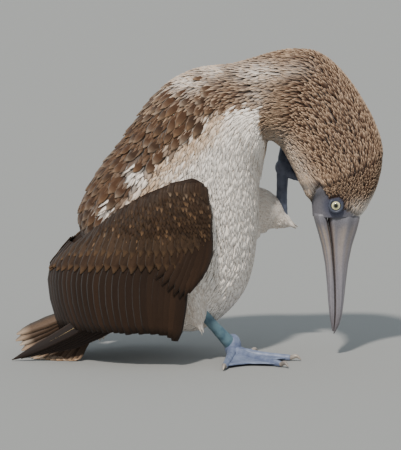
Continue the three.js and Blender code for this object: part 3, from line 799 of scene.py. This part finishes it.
def add_small_coverts(heap, side):
    z, odd = SMALL_FROM, 0
    while z < SMALL_TO:
        for i in range(SMALL_ACROSS):
            s = 0.005 + 0.98 * (i + 0.5 * odd) / SMALL_ACROSS + random.uniform(-0.006, 0.006)
            top = read(WING_TOP, s) - 0.5
            if z > top or z < read(WING_FOOT, s) + 8:
                continue
            edge = step(top - 26, top, z)
            base = mix(WING_BROWN, WING_DARK, random.random())
            fringe = mix(TAN, PALE_TIP, 0.5 * random.random() * edge)
            look = wing_look(base, fringe, 0.75, 0.05 * random.random(), random.choice(FLECKS))
            wing_feather(heap, side, s, z, z - random.uniform(12, 15), 0.008, core_rise(z) + 1.2,
                         random.uniform(6, 7.5), look, 3, False)
        z += SMALL_ROW
        odd = 1 - odd


def add_front_feathers(heap, side):
    """The feathers that hang from the wrist over the front of the wing."""
    rise = core_rise(FRONT_HIGH)
    for i in range(FRONT_FEATHERS):
        share = i / (FRONT_FEATHERS - 1)
        tip_x = -5 - 36 * share
        tip_z = 90 - 22 * math.sin(math.pi * share) * (1 - 0.3 * share)
        s0, s1 = 0.03 + 0.1 * share, (WING_FRONT - tip_x) / (WING_FRONT - read(WING_BACK, tip_z))

        def place(v):
            bow = 0.05 * math.sin(math.pi * v) * (1 - share)
            return s0 + (s1 - s0) * v - bow, FRONT_HIGH + (tip_z - FRONT_HIGH) * v

        path = lambda v: sided(side, cloak(*place(v), rise - 1 + (5.6 - 2 * share - rise) * v))
        lie = lambda v: sided(side, cloak_normal(*place(v)))
        uv = wing_uv(0.01, 20 + 6 * i)
        feather(heap, path, lie, 11.5, wing_look(WING_DARK, WING_BROWN, 0.85), BLUNT, 7, side * 0.12,
                uv=uv, **VANE)
        shaft(heap, path, lie, 0.4, shade(DARK, 0.5), 0.2, uv=uv)


def build_wing(name, side):
    heap = Heap()
    wing_core(heap, side)
    build_secondaries(name, side)
    add_long_coverts(heap, side)
    add_small_coverts(heap, side)
    add_front_feathers(heap, side)
    finish_piece(heap.piece("wing_" + name, VANES), "brown_plumage", "wing_" + name)


FLIGHT_FEATHERS = 7


def build_flight(name, side, tip, reach):
    """The long outer flight feathers, laid straight back beside the tail."""
    heap = Heap()
    stem = [Vector((-4, 72, 106)), Vector((-30, 71, 92)), Vector((-64, 68, 72))]
    rows, around = 8, 10
    verts, faces = limb([sided(side, p) for p in stem], [5.5, 4.5, 3], rows, around)
    uvs = [
        (0.05 + 0.9 * (k // around) / (rows + 1), 0.9 + 0.05 * (k % around) / (around - 1))
        for k in range(len(verts))
    ]
    heap.add(verts, faces, uvs, [shade(DARK, 0.8)] * len(verts))
    for i in range(FLIGHT_FEATHERS):
        k = i * 5 / FLIGHT_FEATHERS
        start = curve(stem, 0.98 - 0.12 * k) + Vector((0, -0.3 * k, 0))
        end = Vector(tip) + Vector((reach * k, 1.2 * k, 2.4 * k))
        laid = Vector((end.x + 46, end.y + 13, 25 + 3.2 * k))
        line = [start, start.lerp(laid, 0.55), laid, end]

        def path(v, line=line, k=k):
            q = curve(line, v)
            return sided(side, Vector((q.x, q.y, max(q.z, 0.6 + 0.9 * k))))

        lie = lambda v: sided(side, Vector((-0.25, 0.9, 0.35)).normalized())
        base = shade(BLACKISH, random.uniform(0.85, 1.3))
        look = lambda u, v, base=base: mix(base, BROWN, 0.35 * step(0.6, 1, abs(u)) + 0.25 * step(0.9, 1, v))
        uv = (0.1 + 0.12 * i, 0.5)
        feather(heap, path, lie, 14, look, POINTED, 14, side * 0.1, uv=uv, split=0.02, **VANE)
        shaft(heap, path, lie, 0.75, mix(STRAW, BROWN, 0.25), 0.3, 0.99, uv=uv)
    finish_piece(heap.piece("flight_" + name, VANES), "brown_plumage", "flight_" + name)


TAIL_ROOT = Vector((-106, 0, 49))
TAIL_DOWN, TAIL_ROLL = math.radians(24), math.radians(50)
# The way back along the tail, the way across its fan, and the way up from its upper face.
TAIL_BACK = Vector((-math.cos(TAIL_DOWN), 0, -math.sin(TAIL_DOWN)))
TAIL_UPPER = Vector((-math.sin(TAIL_DOWN), 0, math.cos(TAIL_DOWN)))
TAIL_ACROSS = Vector((0, -math.cos(TAIL_ROLL), 0)) - TAIL_UPPER * math.sin(TAIL_ROLL)
TAIL_FACE = TAIL_ACROSS.cross(TAIL_BACK).normalized()
TAIL_LONG = [(0, 84), (0.2, 84), (0.5, 82), (1, 62)]
TAIL_FEATHERS, COVERTS_IN_LAYER, COVERT_LAYERS = 14, 20, 3


def fanned(start, spread, share):
    """The way out of the tail's root at a share of its fan, both angles in degrees."""
    fan = math.radians(start + spread * share)
    return TAIL_BACK * math.cos(fan) + TAIL_ACROSS * math.sin(fan)


def build_tail():
    heap = Heap()
    for i in range(TAIL_FEATHERS):
        share = i / (TAIL_FEATHERS - 1)
        run = fanned(-3, 55, share)
        long = read(TAIL_LONG, share) + random.uniform(-3, 1)

        def path(v, run=run, long=long, share=share):
            q = TAIL_ROOT + run * (long * v) + TAIL_ACROSS * 9 * (share - 0.4)
            return Vector((q.x, q.y, max(q.z, 0.7)))

        grey = mix(TAIL_GREY, DARK, random.uniform(0.2, 0.9))
        tip = mix(PALE_TIP, TAN, random.random())

        def look(u, v, grey=grey, tip=tip):
            return mix(shade(grey, 1.1 - 0.2 * abs(u)), tip, 0.7 * step(0.8, 1, v))

        uv = (0.1 + 0.8 * share, 0.5)
        lie = lambda v: TAIL_FACE
        feather(heap, path, lie, 15, look, BLUNT, 10, 0.12, uv=uv, split=0.05, **VANE)
        shaft(heap, path, lie, 0.6, STRAW, 0.1, 0.98, uv=uv)
    finish_piece(heap.piece("tail_feathers", VANES), "brown_plumage", "tail")


def build_tail_coverts():
    """Short feathers over and under the tail's root."""
    heap = Heap()
    for i in range(COVERTS_IN_LAYER * COVERT_LAYERS):
        share = (i % COVERTS_IN_LAYER) / (COVERTS_IN_LAYER - 1)
        layer = i // COVERTS_IN_LAYER
        run = fanned(-20, 100, share)
        side = 1 if layer != 1 else -1
        long = random.uniform(34, 42) - 7 * layer

        def path(v, run=run, long=long, side=side, layer=layer):
            out = TAIL_FACE * side * (9 - 7 * v) * (1 - 0.2 * layer)
            q = TAIL_ROOT - TAIL_BACK * 9 + run * long * v + out
            return Vector((q.x, q.y, max(q.z, 1.5)))

        pale = share > 0.5 or side < 0
        tone = mix(CREAM, TAN, random.uniform(0, 0.7)) if pale else mix(BROWN, TAN, random.uniform(0, 0.8))
        look = lambda u, v, tone=tone: mix(shade(tone, 0.8), CREAM, 0.6 * step(0.6, 1, v))
        feather(heap, path, lambda v: TAIL_FACE * side, 11, look, BLUNT, 5, 0.1, thick=0.3, crown=0.06,
                uv=(0.1 + 0.8 * share, 0.25 + 0.25 * layer), across=4, split=0.06)
    finish_piece(heap.piece("tail_coverts", DOWN), "pale_plumage", "tail")


BILL_ROOT, BILL_TIP = 141.6, 22.5
BILL_SOCKET = 4  # how far the bill's root lies inside the head
LOWER_SHORTER, LOWER_NARROWER = 3, 0.93
MOUTH_GAP = 0.05
GROOVE_AT, GROOVE_HALF = 0.62, 0.16  # the groove beside the ridge, by its share of the height
# Height, under side, mouth line, ridge, half width.
BILL = [(141.6, 115.6, 129.4, 163, 17), (128, 119.6, 132, 159.6, 13.6), (112, 124, 134.4, 154.6, 11),
        (94, 127.4, 136, 151, 9.2), (75, 129.4, 137.2, 148.7, 7.8), (56, 130.8, 137.8, 146.8, 6.4),
        (42, 132.2, 137.8, 145, 5.2), (32, 133.8, 137.2, 142.2, 3.6), (26, 134.9, 136.6, 139.2, 2.1),
        (22.5, 135.4, 136.3, 137, 0.7)]
EYE_AT = (137.5, 17.6, 155)
EYE_RADIUS = 7
RING_RADIUS, RING_HALF, RING_FLAT, RING_OUT, RING_TILT = 6.3, 1.5, 0.73, 4.9, 0.07
PUPIL, EYE_DARK = (0.004, 0.004, 0.005), (0.02, 0.02, 0.025)
IRIS, IRIS_SHADE = linear(224, 220, 172), linear(120, 122, 92)


def bill_row(z):
    rows = BILL[::-1]
    return [read([(r[0], r[k]) for r in rows], z) for k in (1, 2, 3, 4)]


def in_groove(c):
    return math.exp(-(((c - GROOVE_AT) / GROOVE_HALF) ** 2))


def bill_tone(upper, c, z):
    """The horn's colour at height z, with a painted highlight along the ridge and painted shade in the
    groove: c is -1 at the mouth and 1 at the ridge.
    """
    down = (BILL_ROOT - z) / (BILL_ROOT - BILL_TIP)
    tone = mix(BILL_BASE, BILL_GREY, step(0.02, 0.3, down))
    tone = mix(tone, BILL_END, step(0.7, 1, down))
    # A painted highlight lightens the upper half along its ridge.
    tone = mix(tone, BILL_RIDGE_HIGHLIGHT, 0.7 * step(0.75, 0.98, c) if upper else 0)
    streak = 0.5 + 0.5 * math.sin(11 * c + 2.2 * math.sin(5 * down))
    streaked = (0.5 if upper else 0.75) * streak * step(0.02, 0.12, down) * step(0.6, 0.2, down)
    tone = shade(mix(tone, BILL_STREAK, streaked), 0.9 + 0.25 * streak)
    tone = mix(tone, MOUTH_LINE, 0.75 * step(-0.45, -0.9, c))
    # Painted shade darkens the groove beside the ridge.
    return mix(tone, shade(BILL_GREY, 0.6), 0.5 * in_groove(c) if upper else 0)


def build_bill(upper):
    """One half of the bill, flat at the mouth and round above or below."""
    rows, around = 70, 48
    end = BILL_TIP if upper else BILL_TIP + LOWER_SHORTER

    def place(u, angle):
        z = BILL_ROOT + BILL_SOCKET + (end - BILL_ROOT - BILL_SOCKET) * math.sin(math.pi / 2 * u)
        under, mouth, ridge, half = bill_row(z)
        clear = MOUTH_GAP if upper else -MOUTH_GAP
        far = ridge if upper else under
        middle, reach = (far + mouth + clear) / 2, (far - mouth - clear) / 2
        c, s = math.cos(angle), math.sin(angle)
        along = math.copysign(abs(c) ** (0.45 if c < 0 else 1), c)
        groove = 1 - 0.13 * in_groove(c) if upper else 1
        across = math.copysign(abs(s) ** 0.85, s) * groove
        tuck = 1 - 0.05 * step(0.045, 0, u)
        return Vector((middle + reach * tuck * along,
                       half * tuck * (1 if upper else LOWER_NARROWER) * across, z))

    verts, faces = loft(place, rows, around)
    tints = [
        bill_tone(upper, math.cos(2 * math.pi * (k % around) / around), v.z)
        for k, v in enumerate(verts)
    ]
    name = "bill_upper" if upper else "bill_lower"
    piece = mesh_piece(name, verts, turned_out(verts, faces), TINTED, None, tints)
    finish_piece(piece, "bill", name)


def tint_piece(piece, material, tint):
    """Gives each point of a piece its colour by tint(point), in the body's own frame."""
    piece.data.materials.append(material)
    layer = piece.data.attributes.new("tint", "FLOAT_COLOR", "POINT")
    for i, vertex in enumerate(piece.data.vertices):
        layer.data[i].color = (*tint(vertex.co / MM + ORIGIN), 1)


def settle(piece_name, scale=(1, 1, 1)):
    """Names the piece just added and puts its place and size into its mesh."""
    piece = bpy.context.object
    piece.name = piece_name
    piece.scale = scale
    bpy.ops.object.transform_apply(location=True, rotation=True, scale=True)
    bpy.ops.object.shade_smooth()
    return piece


def build_eye(name, side):
    centre = Vector((EYE_AT[0], side * EYE_AT[1], EYE_AT[2]))
    bpy.ops.object.select_all(action="DESELECT")
    bpy.ops.mesh.primitive_uv_sphere_add(
        segments=32, ring_count=42, radius=EYE_RADIUS * MM, calc_uvs=False,
        location=(centre - ORIGIN) * MM, rotation=(math.pi / 2, 0, 0),
    )
    eye = settle("eye_" + name)

    def iris(point):
        r = math.hypot(point.x - centre.x, point.z - centre.z)
        tone = mix(PUPIL, IRIS_SHADE, step(1.6, 1.9, r))
        tone = mix(tone, IRIS, step(2.5, 3.1, r))
        return mix(tone, EYE_DARK, step(3.9, 4.5, r))

    tint_piece(eye, EYE, iris)
    finish_piece(eye, "eye", "eye_" + name)


def build_eye_ring(name, side):
    """The bare ring of skin round the eye."""
    centre = Vector((EYE_AT[0], side * EYE_AT[1], EYE_AT[2])) + Vector((0, side * RING_OUT, 0))
    bpy.ops.object.select_all(action="DESELECT")
    bpy.ops.mesh.primitive_torus_add(
        major_segments=40, minor_segments=12, major_radius=RING_RADIUS * MM, minor_radius=RING_HALF * MM,
        location=(centre - ORIGIN) * MM, rotation=(math.pi / 2 + side * RING_TILT, 0, 0), generate_uvs=False,
    )
    ring = settle("eye_ring_" + name, (1, 1, RING_FLAT))
    tint_piece(ring, TINTED, lambda point: EYE_RING)
    finish_piece(ring, "foot_skin", "head")


# The joints of the standing leg and of the raised one.
SHANK_TOP, TOE_JOINT = (-3, -46, 58), (35, -14, 12)
RAISED_HEEL, RAISED_JOINT = (84, 49, 136), (86, 45, 186)
# The standing toes: which way in degrees, and how long.
STANDING = [(-97, 72), (-50, 74), (-15, 60), (52, 31)]
RAISED_TOES = [[(86, 45, 188), (87, 48, 203), (93, 50, 220), (103, 50, 234)],
               [(87, 45, 188), (97, 48, 201), (113, 50, 213), (133, 48.5, 219)],
               [(87, 45, 186), (97, 46, 190), (111, 46.5, 195), (124, 46, 197)],
               [(87, 45, 184), (94, 45, 179), (102, 44, 176), (109, 42, 175)]]
TOE_NAMES = ("outer", "middle", "inner", "hallux")


def standing_toe(angle, far):
    """A toe's line on the floor, its claw's bow and its claw's tip."""
    turn = math.radians(angle)

    def spot(reach, high):
        return Vector((TOE_JOINT[0] + reach * math.cos(turn), TOE_JOINT[1] + reach * math.sin(turn), high))

    line = [spot(0, 9), spot(0.22 * far, 6), spot(0.6 * far, 3.6), spot(far, 2.6)]
    return line, spot(far + 5.5, 4.6), spot(far + 10.5, 0.9)


def raised_toe(line):
    """The same three for a toe of the raised foot."""
    line = [Vector(p) for p in line]
    run = (line[-1] - line[-2]).normalized()
    out = lambda far, inward: line[-1] + run * far + Vector((0, -inward, 0))
    return line, out(4.5, -0.4), out(8.5, 2.2)


TOE_SIZES = {"left": [6, 4.6, 4, 3.4, 2.8], "right": [6.2, 4.6, 3.9, 3.5, 2.9]}
CLAW_SIZES = [2.4, 2.0, 0.45]
WEB_THICK = 1.1


def add_joint(heap, centre, size):
    """The rounded joint that the toes spread from."""

    def place(u, angle):
        level = math.sin(math.pi * u)
        return Vector(centre) + Vector((size[0] * level * math.cos(angle), size[1] * level * math.sin(angle),
                                        size[2] * math.cos(math.pi * u)))

    verts, faces = loft(place, 16, 20)
    heap.add(verts, turned_out(verts, faces))


def add_web(heap, one, other, sag, scallop):
    """The skin between two toes, scalloped at its free edge and lightly folded."""

    def at(u, v):
        bow = math.sin(math.pi * u)
        reach = 0.06 + 0.88 * v * (1 - scallop * bow)
        fold = 0.5 * math.sin(7 * math.pi * u) * v * bow
        return curve(one, reach).lerp(curve(other, reach), u) + Vector(sag) * (bow * v + 0.4 * fold)

    sheet(heap, at, lambda u, v: WEB_THICK, 24, 20, lambda u, v: (0.5, 0.5, 0.5))


def build_foot(name, toes, joint, joint_size, sag, scallop, material):
    heap = Heap()
    add_joint(heap, joint, joint_size)
    for line, _, _ in toes:
        heap.add(*limb(line, TOE_SIZES[name], 40, 14, 0.95, 0.06))
    for (one, _, _), (other, _, _) in zip(toes, toes[1:]):
        add_web(heap, one, other, sag, scallop)
    finish_piece(heap.piece("foot_" + name, material), "foot_skin", "foot_" + name)
    for toe_name, (line, bow, tip) in zip(TOE_NAMES, toes):
        verts, faces = limb([line[-1].lerp(bow, -0.25), bow, tip], CLAW_SIZES, 14, 12)
        claw = mesh_piece(f"claw_{name}_{toe_name}", verts, faces, CLAW)
        finish_piece(claw, "claw", f"claw_{name}_{toe_name}")


def build_shank(name, points, sizes, material):
    verts, faces = limb([Vector(p) for p in points], sizes, 30, 18, 0.8, 0.03)
    finish_piece(mesh_piece("shank_" + name, verts, faces, material), "foot_skin", "shank_" + name)


# Each thigh's line, its radii and how many strands of down it has.
THIGHS = {
    "right": ([(-24, -34, 92), (-10, -43, 70), (-2, -46, 51)], [30, 22, 10.5], 900),
    "left": ([(20, 34, 122), (52, 46, 141), (72, 49, 141), (84, 49, 136)], [34, 27, 20, 8], 2600),
}
GOLDEN_ANGLE, FULL_TURN = 2.39996, 6.28318


def build_thigh(name):
    points, sizes, count = THIGHS[name]
    points = [Vector(p) for p in points]
    verts, faces = limb(points, [s - 2 for s in sizes[:-1]] + [max(sizes[-1] - 4, 2)], 16, 24)
    # The skin under the thigh's down is cream darkened as painted shade.
    skin = mesh_piece("thigh_skin_" + name, verts, faces, FLESH, None, [shade(CREAM, 0.7)] * len(verts))
    finish_piece(skin, "pale_plumage", "thigh_" + name)
    heap = Heap()
    length = sum((b - a).length for a, b in zip(points, points[1:]))

    def on_limb(u, angle, out):
        """A place on the thigh, or past its end where it closes, and the way out there."""
        past = max(u - 1, 0)
        u = min(max(u, 0), 1)
        run, side, other = limb_axes(points, u)
        around = side * math.cos(angle) + other * math.sin(angle)
        size = smooth_read([[s] for s in sizes], u * (len(sizes) - 1))[0]
        closing = max(0.1, 1 - past * length / 13)
        return curve(points, u) + run * past * length + around * (size - 2 + out) * closing, around

    for i in range(count):
        u, angle = 0.12 + 0.84 * (i + 0.5) / count, i * GOLDEN_ANGLE
        loose = step(0.5, 1, u)
        reach = (random.uniform(11, 15) + 8 * random.random() * loose) / length
        tone = mix(CREAM, TAN, 0.3 * random.random() ** 2)

        def path(v):
            spot, _ = on_limb(u + reach * v, angle, -0.8 + (2.2 + 3.5 * loose) * v)
            return spot - Vector((0, 0, 5 * u * v * v))

        lie = lambda v: on_limb(u, angle, 0)[1]
        # Each strand is a little darker towards its root as painted shade.
        look = lambda a, v: shade(tone, 0.92 + 0.1 * v)
        uv = (0.05 + 0.9 * u, 0.05 + 0.9 * ((angle / FULL_TURN) % 1))
        feather(heap, path, lie, random.uniform(3.4, 5), look, LANCE, 3, random.uniform(-0.2, 0.2), 0.2,
                0.1, uv=uv, across=2)
    finish_piece(heap.piece("thigh_coat_" + name, DOWN), "pale_plumage", "thigh_" + name)


IMAGE_CENTRE = (-32.5, 0, 134.5)  # what the middle of the photo looks at
CAMERA_FAR = 4000
CAMERA_LIFT = math.radians(7)
PHOTO_HEIGHT = 450


def build_stage():
    """A pale floor, a soft sky and one sun."""
    bpy.ops.mesh.primitive_plane_add(size=60, location=(0, 0, -0.0005))
    ground = bpy.context.object
    ground.name = "ground"
    material = bpy.data.materials.new("ground")
    material.use_nodes = True
    shader = material.node_tree.nodes["Principled BSDF"]
    shader.inputs["Base Color"].default_value = (0.3, 0.3, 0.29, 1)
    shader.inputs["Roughness"].default_value = 0.95
    ground.data.materials.append(material)
    world = bpy.data.worlds.new("sky")
    world.use_nodes = True
    world.node_tree.nodes["Background"].inputs["Color"].default_value = (0.66, 0.74, 0.8, 1)
    world.node_tree.nodes["Background"].inputs["Strength"].default_value = 0.85
    bpy.context.scene.world = world
    bpy.ops.object.light_add(type="SUN", rotation=(math.radians(42), math.radians(-14), 0))
    lamp = bpy.context.object
    lamp.name = "sun"
    lamp.data.energy = 4.0
    lamp.data.angle = math.radians(4)
    lamp.data.color = (1, 0.95, 0.88)


def build_camera():
    """A camera that shows one millimetre of the bird as one pixel of the photo."""
    back = Vector((0, -math.cos(CAMERA_LIFT), math.sin(CAMERA_LIFT)))
    bpy.ops.object.camera_add(location=(Vector(IMAGE_CENTRE) + back * CAMERA_FAR) * MM,
                              rotation=(-back).to_track_quat("-Z", "Y").to_euler())
    camera = bpy.context.object
    camera.name = "camera"
    data = camera.data
    data.sensor_width = 36
    data.lens = 36 * CAMERA_FAR / PHOTO_HEIGHT
    data.clip_end = 100
    bpy.context.scene.camera = camera


bpy.ops.object.select_all(action="DESELECT")
build_skin()
build_coat()
build_down()
build_shoulders()
for side_name, side_sign in (("right", -1), ("left", 1)):
    build_wing(side_name, side_sign)
build_flight("right", -1, (-186, 30, 0.2), 13)
build_flight("left", 1, (-152, 26, 0.2), 9)
build_tail()
build_tail_coverts()
build_bill(True)
build_bill(False)
for side_name, side_sign in (("right", -1), ("left", 1)):
    build_eye(side_name, side_sign)
    build_eye_ring(side_name, side_sign)
build_thigh("right")
build_thigh("left")
build_shank("right", [SHANK_TOP, (15, -30, 36), TOE_JOINT], [6, 5.2, 7], SHANK)
build_shank("left", [RAISED_HEEL, (85, 47, 160), RAISED_JOINT], [7, 5.4, 6.5], SHADED_RAISED_LEG)
build_foot("right", [standing_toe(*toe) for toe in STANDING], TOE_JOINT, (8.5, 8.5, 12.5),
           (0, 0, -0.8), 0.16, FOOT)
build_foot("left", [raised_toe(line) for line in RAISED_TOES], RAISED_JOINT, (8, 7, 9), (0, 2.5, 0),
           0.2, SHADED_RAISED_LEG)
build_stage()
build_camera()
